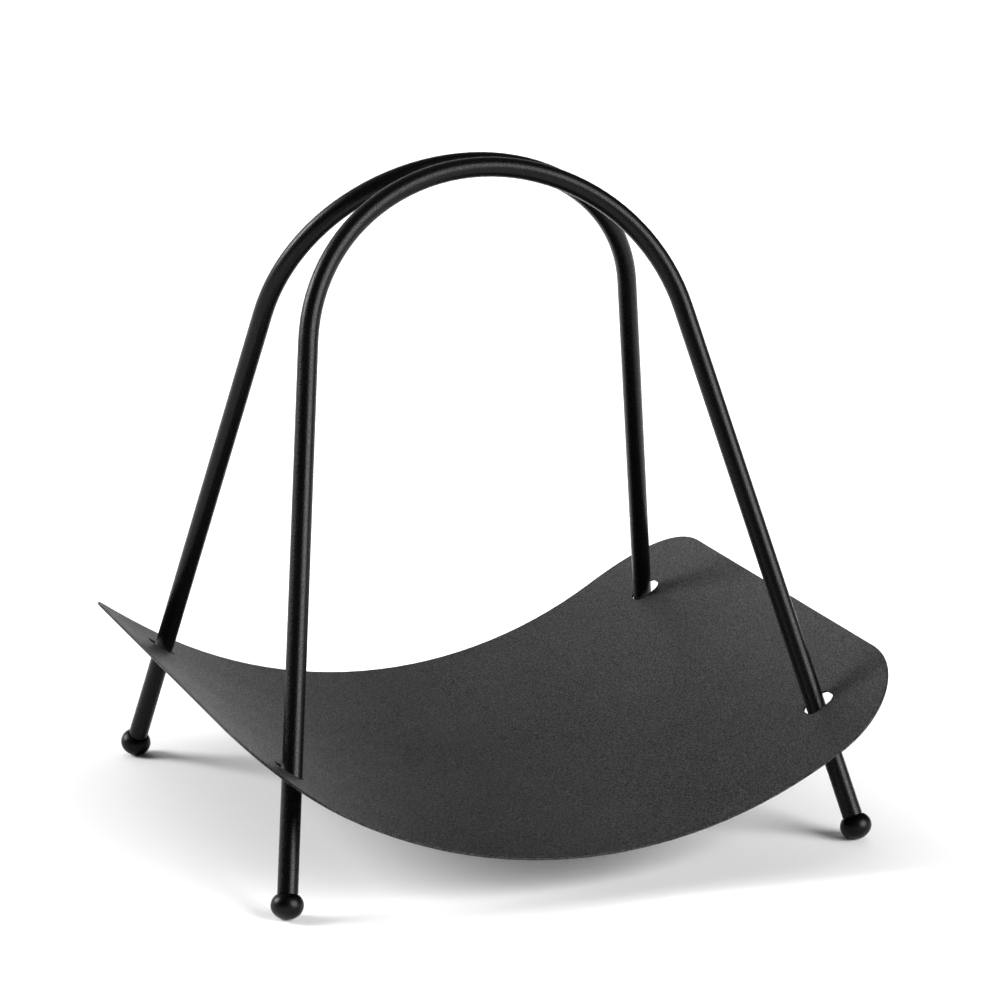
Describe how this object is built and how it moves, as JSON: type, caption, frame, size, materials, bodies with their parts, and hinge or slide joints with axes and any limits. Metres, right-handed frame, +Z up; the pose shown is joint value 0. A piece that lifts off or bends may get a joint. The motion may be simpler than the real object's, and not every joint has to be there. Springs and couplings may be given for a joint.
{
  "type": "firewood log rack",
  "caption": "Log holder: a curved sheet-metal tray carried by bent round-rod hoops that lean together at the top and stand on ball feet.",
  "frame": {"origin": "on the floor, in the middle of the four feet", "axes": "+X across the two hoops to the right, +Y to the rear hoop, +Z up"},
  "size_m": [0.406, 0.4, 0.3999],
  "materials": {
    "rod_coat": "matt black fine-texture powder coat",
    "tray_coat": "matt black fine-texture powder coat",
    "foot_plastic": "moulded, matt black",
    "stud_steel": "zinc-plated"
  },
  "bodies": {
    "root": {"tray_sheet": "tray_coat", "front_hoop": "rod_coat", "ball_foot_front_left": "foot_plastic", "foot_stud_front_left": "stud_steel", "ball_foot_front_right": "foot_plastic", "foot_stud_front_right": "stud_steel", "rear_hoop": "rod_coat", "ball_foot_rear_left": "foot_plastic", "foot_stud_rear_left": "stud_steel", "ball_foot_rear_right": "foot_plastic", "foot_stud_rear_right": "stud_steel"}
  },
  "joints": []
}
